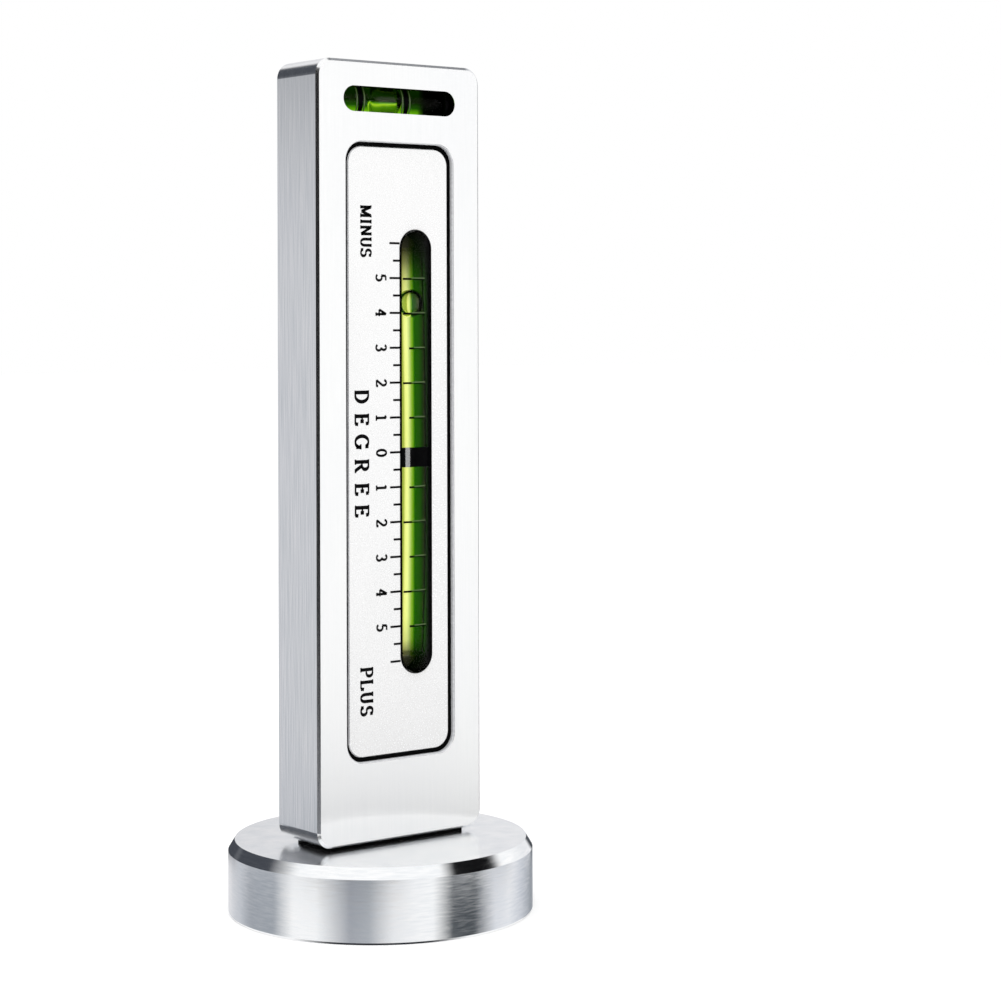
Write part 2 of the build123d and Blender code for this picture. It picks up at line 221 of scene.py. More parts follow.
# Aluminium sheet, blasted and clear anodised: an even pale face without lines
blastedAluminium = {"dark": "#fcfcfc", "light": "#ffffff", "grain": (0.15, 0.15, 0.15), "detail": 2.0,
                    "cloud": (8, 8, 15), "shade": "#fdfdfd", "roughness": (0.24, 0.28), "relief": 0.0001,
                    "metallic": 0.45}
dress(metalFinish("anodisedAluminiumBlasted", blastedAluminium), "scale_plate")

# Steel, turned and nickel plated: bright, with level lathe lines round it, drawn 0.25 mm apart
platedCup = {"dark": "#f2f4f6", "light": "#ffffff", "grain": (2.2, 2.2, 0.25), "detail": 3.0,
             "cloud": (5, 5, 7), "shade": "#fbfcfd", "roughness": (0.07, 0.12), "relief": 0.0008,
             "top": 0.2}
dress(metalFinish("nickelPlatedSteelTurned", platedCup), "base_cup", "core")

# Headed steel screw, bright zinc plated: softer and a little yellower than the nickel
zincScrew = {"dark": "#b6b8b4", "light": "#dbdbd4", "grain": (0.3, 0.3, 0.3), "detail": 3.0,
             "cloud": (3, 3, 3), "shade": "#eceada", "roughness": (0.28, 0.4), "relief": 0.006}
dress(metalFinish("zincPlatedSteelHeaded", zincScrew), "centre_screw")

# Sintered ferrite, ground flat: charcoal with a dull mineral speckle
groundFerrite = {"dark": "#242428", "light": "#3b3c40", "grain": (0.35, 0.35, 0.35),
                 "roughness": (0.45, 0.6), "relief": 0.01}
dress(mottledFinish("ferriteGround", groundFerrite), "ring_magnet")

# Nitrile rubber, moulded: near black, with almost no shine
nitrileRubber = {"dark": "#040404", "light": "#0b0b0c", "grain": (0.25, 0.25, 0.25),
                 "roughness": (0.55, 0.7), "relief": 0.004, "specular": 0.02}
dress(mottledFinish("nitrileRubberMoulded", nitrileRubber), "plate_gasket", "foot_gasket")

# ABS, turned and black: a dull plug that closes the short level's bore
turnedAbs = {"dark": "#070708", "light": "#101012", "grain": (0.3, 0.3, 0.3),
             "roughness": (0.4, 0.5), "relief": 0.002, "specular": 0.1}
dress(mottledFinish("absTurnedBlack", turnedAbs), "bore_stopper")
print("solids dressed")


# What lies behind a vial, with painted light and shade. Light that the clear plastic and the dyed spirit
# spread on it, and shade where little of it gets, are painted on as glow and into its colour, because few of
# the render's light paths would find it.
def paintedGlowBacking(name, look):
    material, tree = startMaterial(name)
    place = addNode(tree, "TexCoord")
    tone = addPattern(tree, place, look["grain"], 3.0, (look["dark"], look["light"]))[1]
    low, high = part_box(look["behind"])
    parts = addNode(tree, "SeparateXYZ", {0: (place, "Object")})
    glow = None
    for axis, stops in look["light by"].items():
        i = "XYZ".index(axis)
        share = addNode(tree, "MapRange", {"Value": (parts, axis), "From Min": low[i], "From Max": high[i]})
        ramp = addNode(tree, "ValToRGB", {"Fac": (share, 0)}, stops)
        if glow:
            both = addNode(tree, "Mix", {0: 1.0, 6: glow, 7: (ramp, 0)},
                           data_type="RGBA", blend_type="MULTIPLY")
            glow = (both, 2)
        else:
            glow = (ramp, 0)
    tinted = addNode(tree, "Mix", {0: 1.0, 6: (tone, 0), 7: glow}, data_type="RGBA", blend_type="MULTIPLY")
    surface = addNode(tree, "BsdfPrincipled", {
        "Base Color": (tinted, 2), "Roughness": look["roughness"], "Specular IOR Level": 0.0,
        "Emission Color": glow, "Emission Strength": look["glow"]})
    addNode(tree, "OutputMaterial", {"Surface": (surface, 0)})
    return material


# Places of the stops: 0 is a vial's left side, front or lower end, 1 its right side, back or top
# painted shade: the glow darkens towards both ends of a vial
paintedEndShade = [(0.0, "#000000"), (0.03, "#2c2c2c"), (0.07, "#e0e0e0"), (0.12, "#ffffff"), (0.84, "#ffffff"),
           (0.89, "#d0d0d0"), (0.93, "#7a7a7a"), (0.96, "#2a2a2a"), (1.0, "#000000")]
# ABS, moulded black: a deep colour, with painted light: a green glow next to the bed that fades to black
# towards the front
blackAbsPaintedGlow = {"dark": "#050507", "light": "#0c0c0e", "grain": (0.4, 0.4, 0.4), "roughness": 0.5, "glow": 1.0,
            "behind": "camber_vial",
            "light by": {"Z": paintedEndShade, "Y": [(0.0, "#000000"), (0.35, "#000000"), (0.55, "#0a2402"),
                                             (0.8, "#1d5404"), (1.0, "#1f6004")]}}
dress(paintedGlowBacking("absMouldedBlackPaintedGlow", blackAbsPaintedGlow), "vial_cradle")

# Polyester film, white: the backing of the liquid, made bright by painted glow, with a pale painted
# highlight stripe that stands in for the glint on the vial's crowned front, and painted shade in bottle
# green on its right
whiteFilmPaintedGlow = {"dark": "#eef0e8", "light": "#fafbf6", "grain": (0.6, 0.6, 0.6), "roughness": 0.5, "glow": 1.5,
             "behind": "camber_vial",
             "light by": {"X": [(0.0, "#98a45a"), (0.53, "#9ca258"), (0.61, "#e6dcb4"), (0.7, "#ebe6ca"),
                                (0.755, "#c9cbb3"), (0.84, "#829d40"), (0.89, "#608c20"), (0.93, "#245c05"),
                                (1.0, "#164904")], "Z": paintedEndShade}}
dress(paintedGlowBacking("polyesterFilmWhitePaintedGlow", whiteFilmPaintedGlow), "vial_bed")

# The short level's bore, lined black: painted shade where no light gets in, darker towards both ends, and a
# painted lime glow low down on the left
boreLinerPaintedGlow = {"dark": "#040405", "light": "#0a0a0b", "grain": (0.5, 0.5, 0.5), "roughness": 0.5,
               "glow": 1.3, "behind": "cross_vial",
               "light by": {"Z": [(0.0, "#34600a"), (0.3, "#568c14"), (0.42, "#b4d840"), (0.47, "#64a418"),
                                  (0.52, "#1c4c06"), (0.58, "#061600"), (0.78, "#0c2803"),
                                  (1.0, "#000000")],
                            "X": [(0.0, "#c0c0c0"), (0.1, "#ffffff"), (0.92, "#ffffff"), (0.96, "#909090"),
                                  (0.99, "#000000"), (1.0, "#000000")]}}


# Clear and tinted liquids and plastics: light bends at their skins, depth gives the colour
def clearFinish(name, look):
    material, tree = startMaterial(name)
    place = addNode(tree, "TexCoord")
    tone = addPattern(tree, place, look["drift"], 1.0, (look["dark"], look["light"]))[1]
    surface = addNode(tree, "BsdfPrincipled", {
        "Base Color": (tone, 0), "Roughness": look["roughness"], "IOR": look["ior"],
        "Transmission Weight": 1.0, "Specular Tint": hexToLinear(look["sheen"])})
    output = addNode(tree, "OutputMaterial", {"Surface": (surface, 0)})
    if "dye" in look:
        depth = addNode(tree, "VolumeAbsorption", {"Color": hexToLinear(look["dye"]),
                                                   "Density": look["density"]})
        tree.links.new(depth.outputs[0], output.inputs["Volume"])
    return material


acrylicIor = 1.49
spiritIor = 1.36

# Acrylic, milled and polished, with a green cast: clear, with a faint mirror image of the room
polishedAcrylic = {"dark": "#fbfef6", "light": "#ffffff", "drift": (4, 4, 9), "roughness": 0.04,
                   "ior": acrylicIor, "sheen": "#303030", "dye": "#d6ea50", "density": 60.0}
# Dyed spirit: lime where light comes through, bottle green where it is deep or unlit. Its index is
# against the acrylic round it, and the bubble's is against the spirit.
dyedSpirit = {"dark": "#fbfdf0", "light": "#ffffff", "drift": (3, 3, 6), "roughness": 0.0,
              "ior": spiritIor / acrylicIor, "sheen": "#ffffff", "dye": "#d2e030", "density": 200.0}
# Air in the spirit: a colourless lens with a dark rim, where light from behind is turned away
trappedAir = {"dark": "#fbfff2", "light": "#ffffff", "drift": (2, 2, 2), "roughness": 0.0,
              "ior": 1 / spiritIor, "sheen": "#ffffff"}
acrylic = clearFinish("acrylicPolished", polishedAcrylic)
spirit = clearFinish("spiritDyedGreen", dyedSpirit)
air = clearFinish("airBubbleInSpirit", trappedAir)


crispFrom = radians(35)  # edges that turn by more than this stay sharp


def makePiece(name, vertices, faces, material, body="gauge"):
    mesh = bpy.data.meshes.new(name)
    mesh.from_pydata([tuple(v) for v in vertices], [], faces)
    mesh.materials.append(material)
    shape = bmesh.new()
    shape.from_mesh(mesh)
    bmesh.ops.recalc_face_normals(shape, faces=shape.faces)
    for face in shape.faces:
        face.smooth = True
    for edge in shape.edges:
        edge.smooth = not edge.is_manifold or edge.calc_face_angle() < crispFrom
    shape.to_mesh(mesh)
    shape.free()
    piece = bpy.data.objects.new(name, mesh)
    bpy.context.scene.collection.objects.link(piece)
    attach(piece, body)
    return piece


def ringFaces(first, second, count):
    # the faces between two closed rings of count vertices each
    return [(first + k, first + (k + 1) % count, second + (k + 1) % count, second + k) for k in range(count)]


def turnedPiece(name, axis, profile, material, body="gauge", around=96):
    # profile is (place along the axis, radius); axis gives a point and two cross directions there
    vertices = []
    for place, radius in profile:
        centre, side, rise = axis(place)
        for k in range(around):
            angle = 2 * pi * k / around
            vertices.append(centre + (side * cos(angle) + rise * sin(angle)) * radius)
    faces = []
    for ring in range(len(profile) - 1):
        faces += ringFaces(ring * around, (ring + 1) * around, around)
    last = len(vertices) - around
    faces += [tuple(range(around)), tuple(range(last, last + around))]
    return makePiece(name, vertices, faces, material, body)


# The two vials. Each bore is bent, nearest to the front in its middle, so its bubble shows the tilt.
camberVial = {"node": "camber", "along": Vector((0, 0, 1)), "across": Vector((1, 0, 0)), "boreAside": 0.3,
              "bore": 3.5, "wall": 0.35, "bend": 260.1, "fill": 53.2, "crown": 0.35, "edge": 0.1,
              "bond": 0.04, "bondFrom": 1.3,
              "seal": {"from": 0.27, "to": 1.45, "lap": 0.2, "thick": 0.12, "slope": 0.07, "root": 0.22,
                       "inside": 0.02, "outside": 0.045},
              "bubble": {"length": 3.75, "width": 3.4, "gap": 0.04, "travel": 19.45, "rises": 0.0}}
crossVial = {"node": "cross", "along": Vector((1, 0, 0)), "across": Vector((0, 0, 1)), "boreAside": 0.0,
             "bore": 3.8, "wall": 0.6, "bend": 100.0, "fill": 16.0, "edge": 0.2,
             "liner": {"from to": (-115, 115), "inside": 0.02, "outside": 0.03, "endShare": 0.97},
             "bubble": {"length": 5.2, "width": 3.3, "gap": 0.04, "travel": 1.25, "rises": 1.0}}
forward = Vector((0, -1, 0))


def measureVial(vial):
    low, high = (Vector(corner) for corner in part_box(vial["node"] + "_vial"))
    vial["low"], vial["high"], vial["middle"] = low, high, (low + high) / 2
    vial["halfWide"] = (high - low).dot(vial["across"]) / 2
    vial["halfLong"] = (high - low).dot(vial["along"]) / 2
    front = vial["middle"] + forward * (vial["middle"].y - low.y)
    depth = vial["wall"] + vial["bore"] / 2 + vial["bend"]
    vial["bendCentre"] = front + vial["across"] * vial["boreAside"] * mm - forward * depth * mm


def rodAxis(vial):
    return lambda place: (vial["middle"] + vial["along"] * place, vial["across"], forward)


def boreAxis(vial):
    def at(place):
        turn = place / (vial["bend"] * mm)
        outward = forward * cos(turn) + vial["along"] * sin(turn)
        return vial["bendCentre"] + outward * vial["bend"] * mm, vial["across"], outward
    return at


def bubbleAxis(vial):
    bubble = vial["bubble"]
    centre, across, outward = boreAxis(vial)(bubble["travel"] * mm)
    # it lies against the bore's front, or its upper side where the vial lies level in a standing gauge
    side = outward.lerp(Vector((0, 0, 1)), bubble["rises"])
    centre = centre + side * (vial["bore"] / 2 - bubble["gap"] - bubble["width"] / 2) * mm
    along = outward.cross(across)
    if along.dot(vial["along"]) < 0:
        along = -along
    return lambda place: (centre + along * place, across, outward)


def roundEnded(length, width, steps=20):
    radius = width / 2
    quarter = [(pi / 2) * i / steps for i in range(1, steps + 1)]
    start = [(-length / 2 + radius * (1 - cos(a)), radius * sin(a)) for a in quarter]
    return start + [(-place, r) for place, r in reversed(start)]


def fillVial(vial):
    name = vial["node"]
    steps = 56
    half = vial["fill"] / 2 * mm
    column = turnedPiece(name + "SpiritColumn", boreAxis(vial),
                         [(half * (2 * i / steps - 1), vial["bore"] / 2 * mm) for i in range(steps + 1)],
                         spirit)
    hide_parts(name + "_spirit")
    length, width = vial["bubble"]["length"] * mm, vial["bubble"]["width"] * mm
    bubble = turnedPiece(name + "AirBubble", bubbleAxis(vial), roundEnded(length, width), air,
                         name + "_bubble_body")
    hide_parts(name + "_bubble")


def crownHeight(vial, aside):
    # how far the crowned front lies behind its crest, at a distance aside from it
    return vial["crown"] * mm * (aside / vial["halfWide"]) ** 2


def roundEndedLoop(vial, margin, steps=32):
    # the vial's outline, its upper half from left to right and its lower half back again
    radius, reach = vial["halfWide"] + margin, vial["halfLong"] - vial["halfWide"]
    turns = [pi * i / steps for i in range(steps + 1)]
    upper = [(-radius * cos(turn), reach + radius * sin(turn)) for turn in turns]
    return upper + [(x, -z) for x, z in reversed(upper)]


def sweptRings(vial, rings):
    # vertices and side faces of outlines stacked from front to back; rings are (margin, depth)
    vertices, faces = [], []
    for margin, depth in rings:
        loop = roundEndedLoop(vial, margin)
        for x, z in loop:
            y = vial["low"].y + (crownHeight(vial, x) if depth is None else depth * mm)
            vertices.append(Vector((vial["middle"].x + x, y, vial["middle"].z + z)))
    count = len(loop)
    for ring in range(len(rings) - 1):
        faces += ringFaces(ring * count, (ring + 1) * count, count)
    return vertices, faces


def buildCamberVial(vial):
    # a crowned front in upright strips, an eased edge, and sides that widen where the cradle holds them
    edge, bond, side = vial["edge"] * mm, vial["bond"] * mm, vial["crown"] + vial["edge"]
    back = (vial["high"].y - vial["low"].y + bond) / mm
    rings = [(-edge, None), (0, side), (0, vial["bondFrom"]), (bond, vial["bondFrom"] + vial["bond"]),
             (bond, back)]
    vertices, faces = sweptRings(vial, rings)
    count = len(vertices) // len(rings)
    half = count // 2
    faces += [(i, i + 1, count - 2 - i, count - 1 - i) for i in range(half - 1)]
    faces.append(tuple(range(len(vertices) - count, len(vertices))))
    block = makePiece("camberVialBody", vertices, faces, acrylic)
    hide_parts("camber_vial", "camber_plug_lower", "camber_plug_upper")


def buildVialSeal(vial):
    # the black sealant in the narrow gap between the vial and the plate, lapping onto the vial's edge
    seal = vial["seal"]
    lap, inside, outside = -seal["lap"] * mm, -seal["inside"] * mm, seal["outside"] * mm
    front, back = seal["from"], seal["to"]
    vertices, faces = sweptRings(vial, [
        (lap, front), (outside, front + seal["slope"]), (outside, back), (inside, back),
        (inside, front + seal["root"]), (lap, front + seal["thick"]), (lap, front)])
    piece = makePiece("vialSeal", vertices, faces, sealant)


def buildBoreLiner(vial, around=40, endAround=64):
    # a thin half tube behind the short vial, open towards the window, that carries painted light and shade
    liner = vial["liner"]
    start, end = (radians(a) for a in liner["from to"])
    vertices, faces = [], []

    def addPoint(place, reach, angle):
        sideways = vial["across"] * reach * sin(angle) - forward * reach * cos(angle)
        vertices.append(vial["middle"] + vial["along"] * place + sideways)
    for place in (-vial["halfLong"], vial["halfLong"]):
        for margin in (-liner["inside"], liner["outside"]):
            for k in range(around + 1):
                addPoint(place, vial["halfWide"] + margin * mm, start + (end - start) * k / around)
    row, last = around + 1, len(vertices)
    for k in range(endAround):  # and a black end where the stopper closes the bore
        addPoint(vial["halfLong"] - liner["inside"] * mm, vial["halfWide"] * liner["endShare"],
                 2 * pi * k / endAround)
    faces.append(tuple(range(last, last + endAround)))
    for k in range(around):
        for a, b in ((0, 1), (1, 3), (3, 2), (2, 0)):
            faces.append((a * row + k, a * row + k + 1, b * row + k + 1, b * row + k))
    for k in (0, around):
        faces.append((k, row + k, 3 * row + k, 2 * row + k))
    piece = makePiece("crossBoreLiner", vertices, faces, paintedGlowBacking("boreLinerBlackPaintedGlow", boreLinerPaintedGlow))


def buildCrossVial(vial):
    half, radius, edge = vial["halfLong"], vial["halfWide"], vial["edge"] * mm
    profile = [(-half, radius - edge), (-half + edge, radius), (half - edge, radius), (half, radius - edge)]
    rod = turnedPiece("crossVialRod", rodAxis(vial), profile, acrylic)
    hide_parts("cross_vial", "cross_plug_left", "cross_plug_right")


for vial in (camberVial, crossVial):
    measureVial(vial)
    fillVial(vial)
buildCamberVial(camberVial)
buildCrossVial(crossVial)

# Silicone sealant, pressed in and wiped: a soft black line round the vial
wipedSilicone = {"dark": "#030303", "light": "#080808", "grain": (0.3, 0.3, 0.3),
                 "roughness": (0.4, 0.5), "relief": 0.002, "specular": 0.0}
sealant = mottledFinish("siliconeSealantWiped", wipedSilicone)
buildVialSeal(camberVial)
buildBoreLiner(crossVial)
print("vials built")

# Screen ink, baked on the vials: dense black with a glossy face
bakedInk = {"dark": "#020203", "light": "#060607", "grain": (0.5, 0.5, 0.5),
            "roughness": (0.04, 0.07), "relief": 0.0, "specular": 0.02}
vialInk = mottledFinish("screenInkBaked", bakedInk)
# Pale green, a painted highlight: a thin line beside each black one, standing in for the light that the
# mark's edge catches
paintedHighlightInk = {"dark": "#4a6034", "light": "#5e7644", "grain": (0.5, 0.5, 0.5),
           "roughness": (0.3, 0.4), "relief": 0.0005}
paintedHighlightFinish = mottledFinish("screenInkPaintedHighlight", paintedHighlightInk)
# Each degree's line is thick where it starts and thin from there to lineTo, with a pale line of painted
# highlight over the thin one. Heights are from the middle of the degree.
camberPrint = {"lift": 0.012, "degree": 4.54, "degrees": 5, "drop": -0.1, "lineTo": 1.3,
               "longFrom": -2.15, "longTo": -0.9, "longAt": (5, 4, 2, -2, -4),
               "shortFrom": -1.3, "shortTo": -0.55, "thick": 0.27, "thin": 0.12, "paleFrom": 0.065,
               "zeroBand": (-2.0, 0.57)}


def crownedPrint(name, vial, patches, material, around=20):
    # patches are (from, to across the vial, low, high along it), laid on its crowned front
    vertices, faces = [], []
    for start, end, low, high in patches:
        first = len(vertices)
        for along in (low, high):
            for k in range(around + 1):
                aside = (start + (end - start) * k / around) * mm
                y = vial["low"].y + crownHeight(vial, aside) - camberPrint["lift"] * mm
                vertices.append(Vector((vial["middle"].x + aside, y, vial["middle"].z + along * mm)))
        faces += [(first + k, first + k + 1, first + around + 2 + k, first + around + 1 + k)
                  for k in range(around)]
    piece = makePiece(name, vertices, faces, material)
    return piece


black, pale = [], []
for degree in range(-camberPrint["degrees"], camberPrint["degrees"] + 1):
    z = camberPrint["drop"] + degree * camberPrint["degree"]
    reach = "long" if degree in camberPrint["longAt"] else "short"
    start, turn, end = camberPrint[reach + "From"], camberPrint[reach + "To"], camberPrint["lineTo"]
    if degree:  # the zero has its band instead
        black.append((start, turn, z - camberPrint["thick"] / 2, z + camberPrint["thick"] / 2))
        black.append((turn, end, z - camberPrint["thin"], z))
        paleFoot = z + camberPrint["paleFrom"]
        pale.append((turn, end, paleFoot, paleFoot + camberPrint["thin"]))
halfWide = camberVial["halfWide"] / mm - camberVial["edge"]
crownedPrint("camberDegreeLines", camberVial, black, vialInk)
crownedPrint("camberPaintedHighlightLines", camberVial, pale, paintedHighlightFinish)
zeroPatch = (-halfWide, halfWide, *camberPrint["zeroBand"])
zeroBand = crownedPrint("camberZeroBand", camberVial, [zeroPatch], vialInk, 40)


# A ring on each side of where the short vial's bubble belongs, with a pale ring of painted highlight on both
# its sides
crossPrint = {"lift": 0.01, "gap": 7.25, "wide": 0.7, "paleAside": 0.58, "paleWide": 0.2}


def ringPrint(name, vial, middles, wide, material, around=96):
    vertices, faces = [], []
    for middle in middles:
        first = len(vertices)
        for place in (middle - wide / 2, middle + wide / 2):
            centre, across, rise = rodAxis(vial)(place * mm)
            for k in range(around):
                angle = 2 * pi * k / around
                reach = vial["halfWide"] + crossPrint["lift"] * mm
                vertices.append(centre + (rise * cos(angle) + across * sin(angle)) * reach)
        faces += ringFaces(first, first + around, around)
    piece = makePiece(name, vertices, faces, material)


ringMiddles = (-crossPrint["gap"] / 2, crossPrint["gap"] / 2)
paleMiddles = [middle + side * crossPrint["paleAside"] for middle in ringMiddles for side in (-1, 1)]
ringPrint("crossRings", crossVial, ringMiddles, crossPrint["wide"], vialInk)
ringPrint("crossPaintedHighlightRings", crossVial, paleMiddles, crossPrint["paleWide"], paintedHighlightFinish)
print("vials printed")


# Pen letters: u runs along the word and v up the letter, both in cap heights
def bow(u, v, wide, high, start, end, steps=12):
    angles = [radians(start + (end - start) * i / steps) for i in range(steps + 1)]
    return [(u + wide * cos(a), v + high * sin(a)) for a in angles]


def foot(u, v, half=0.15):
    return [(u - half, v), (u + half, v)]


letters = {  # each with its width and its strokes
    "0": (0.62, [bow(0.31, 0.5, 0.22, 0.44, 0, 360, 28)]),
    "1": (0.62, [[(0.31, 0.04), (0.31, 0.94)], [(0.31, 0.94), (0.14, 0.82)], foot(0.31, 0.04, 0.2)]),
    "2": (0.62, [bow(0.3, 0.7, 0.2, 0.25, 165, -25) + [(0.1, 0.06)], [(0.08, 0.06), (0.52, 0.06)],
                 [(0.52, 0.02), (0.54, 0.2)]]),
    "3": (0.62, [bow(0.28, 0.73, 0.18, 0.22, 155, -90), bow(0.28, 0.27, 0.22, 0.24, 90, -150, 16)]),
    "4": (0.62, [[(0.4, 0.04), (0.4, 0.95)], [(0.4, 0.95), (0.06, 0.32)], [(0.06, 0.32), (0.56, 0.32)],
                 foot(0.4, 0.04, 0.13)]),
    "5": (0.62, [[(0.5, 0.93), (0.16, 0.93)], [(0.16, 0.93), (0.13, 0.52)],
                 bow(0.27, 0.31, 0.23, 0.26, 125, -145, 18)]),
    "D": (0.82, [[(0.18, 0.04), (0.18, 0.96)], bow(0.34, 0.5, 0.38, 0.46, 90, -90, 18),
                 [(0.06, 0.96), (0.34, 0.96)], [(0.06, 0.04), (0.34, 0.04)]]),
    "E": (0.72, [[(0.2, 0.04), (0.2, 0.96)], [(0.06, 0.96), (0.64, 0.96)], [(0.06, 0.04), (0.66, 0.04)],
                 [(0.2, 0.52), (0.5, 0.52)], [(0.62, 0.97), (0.64, 0.78)], [(0.64, 0.03), (0.67, 0.24)],
                 [(0.5, 0.4), (0.5, 0.64)]]),
    "G": (0.86, [bow(0.44, 0.5, 0.34, 0.46, 40, 335, 24), [(0.74, 0.42), (0.74, 0.1)], foot(0.72, 0.42),
                 [(0.71, 0.97), (0.71, 0.74)]]),
    "R": (0.86, [[(0.2, 0.04), (0.2, 0.96)], foot(0.2, 0.04), [(0.06, 0.96), (0.42, 0.96)],
                 bow(0.42, 0.73, 0.22, 0.23, 90, -90), [(0.42, 0.5), (0.2, 0.5)],
                 [(0.42, 0.5), (0.7, 0.04)], [(0.62, 0.04), (0.84, 0.04)]]),
    "P": (0.74, [[(0.2, 0.04), (0.2, 0.96)], foot(0.2, 0.04), [(0.06, 0.96), (0.4, 0.96)],
                 bow(0.4, 0.71, 0.24, 0.25, 90, -90), [(0.4, 0.46), (0.2, 0.46)]]),
    "L": (0.72, [[(0.2, 0.04), (0.2, 0.96)], foot(0.2, 0.96), [(0.06, 0.04), (0.62, 0.04)],
                 [(0.62, 0.03), (0.65, 0.28)]]),
    "U": (0.86, [[(0.2, 0.96), (0.2, 0.36)], bow(0.43, 0.36, 0.23, 0.32, 180, 360),
                 [(0.66, 0.36), (0.66, 0.96)], foot(0.2, 0.96), foot(0.66, 0.96, 0.12)]),
    "S": (0.68, [bow(0.34, 0.72, 0.21, 0.24, 35, 265, 16) + bow(0.34, 0.27, 0.24, 0.23, 85, -145, 16),
                 [(0.53, 0.97), (0.53, 0.76)], [(0.11, 0.25), (0.11, 0.03)]]),
    "M": (1.04, [[(0.18, 0.04), (0.18, 0.96)], [(0.18, 0.96), (0.5, 0.1)], [(0.5, 0.1), (0.82, 0.96)],
                 [(0.82, 0.96), (0.82, 0.04)], foot(0.18, 0.04, 0.12), foot(0.82, 0.04),
                 [(0.04, 0.96), (0.2, 0.96)], [(0.8, 0.96), (0.96, 0.96)]]),
    "I": (0.42, [[(0.21, 0.04), (0.21, 0.96)], foot(0.21, 0.04), foot(0.21, 0.96)]),
    "N": (0.88, [[(0.2, 0.04), (0.2, 0.96)], [(0.2, 0.96), (0.7, 0.06)], [(0.7, 0.06), (0.7, 0.96)],
                 foot(0.2, 0.04, 0.13), foot(0.7, 0.96, 0.13), [(0.06, 0.96), (0.2, 0.96)]]),
}


def penStroke(marks, path, pen, place):
    # marks gathers vertices and faces; the pen is broad on upright strokes and narrow on level ones
    vertices, faces = marks
    first = len(vertices)
    for i, (u, v) in enumerate(path):
        before, after = path[max(i - 1, 0)], path[min(i + 1, len(path) - 1)]
        du, dv = after[0] - before[0], after[1] - before[1]
        length = hypot(du, dv) or 1.0
        width = pen["narrow"] + (pen["broad"] - pen["narrow"]) * abs(dv) / length
        cu, cv = -dv / length * width / 2, du / length * width / 2
        for lift in (0.0, plateMarks["lift"]):
            vertices.append(place(u + cu, v + cv, lift))
            vertices.append(place(u - cu, v - cv, lift))
    for i in range(len(path) - 1):
        a = first + 4 * i
        faces += [(a + 2, a + 3, a + 7, a + 6), (a, a + 2, a + 6, a + 4), (a + 3, a + 1, a + 5, a + 7),
                  (a + 1, a, a + 4, a + 5)]
    z = first + 4 * (len(path) - 1)
    faces += [(first, first + 1, first + 3, first + 2), (z, z + 2, z + 3, z + 1)]


def letterRow(marks, word, height, length, x, z, pen):
    # reads downwards with the letters' tops to the right, centred at x and z
    natural = sum(letters[letter][0] for letter in word)
    gap = (length / height - natural) / max(len(word) - 1, 1)
    along = -(length / height) / 2 if len(word) > 1 else -natural / 2
    for letter in word:
        width, strokes = letters[letter]
        for path in strokes:
            start = along

            def place(u, v, lift):
                return Vector(((x + (v - 0.5) * height) * mm, plateFront - lift * mm,
                               (z - (start + u) * height) * mm))
            penStroke(marks, path, pen, place)
        along += width + gap


# The printed scale on the plate: a line each half degree, numbers outwards from 0, and three words.
# A word has its place across and up, its height and its length. Pens are in cap heights.
plateMarks = {"lift": 0.02, "degree": 4.54, "halves": 12, "wholeFrom": -1.4, "halfFrom": -0.86, "to": 0.2,
              "thick": 0.28,
              "digitAt": -2.75, "digitHeight": 1.72, "digitPen": {"broad": 0.19, "narrow": 0.13},
              "wordPen": {"broad": 0.22, "narrow": 0.11},
              "words": (("MINUS", -5.12, 28.75, 1.72, 6.8), ("DEGREE", -5.84, 0.1, 2.21, 16.4),
                        ("PLUS", -5.17, -30.7, 1.97, 6.4))}
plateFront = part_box("scale_plate")[0][1]
scaleMiddle = middleOf("camber_vial").z / mm
# Screen ink, printed on the plate: flat black, with less shine than the metal round it
printedInk = {"dark": "#040405", "light": "#0c0c0d", "grain": (0.3, 0.3, 0.3),
              "roughness": (0.4, 0.55), "relief": 0.001, "specular": 0.04}
plateInk = mottledFinish("screenInkPrinted", printedInk)


def buildPlateMarks():
    ticks, digits, words = ([], []), ([], []), ([], [])
    for step in range(-plateMarks["halves"], plateMarks["halves"] + 1):
        start = plateMarks["halfFrom"] if step % 2 else plateMarks["wholeFrom"]
        z = scaleMiddle + step / 2 * plateMarks["degree"]
        pen = {"broad": plateMarks["thick"], "narrow": plateMarks["thick"]}

        def place(u, v, lift):
            return Vector((u * mm, plateFront - lift * mm, (z + v) * mm))
        penStroke(ticks, [(start, 0), (plateMarks["to"], 0)], pen, place)
        if step % 2 == 0 and abs(step) < plateMarks["halves"]:
            letterRow(digits, str(abs(step) // 2), plateMarks["digitHeight"], 0, plateMarks["digitAt"], z,
                      plateMarks["digitPen"])
    for word, x, z, height, length in plateMarks["words"]:
        letterRow(words, word, height, length, x, scaleMiddle + z, plateMarks["wordPen"])
    for name, marks in (("plateTicks", ticks), ("plateDigits", digits), ("plateWords", words)):
        piece = makePiece(name, *marks, plateInk)


buildPlateMarks()
print("scale printed")


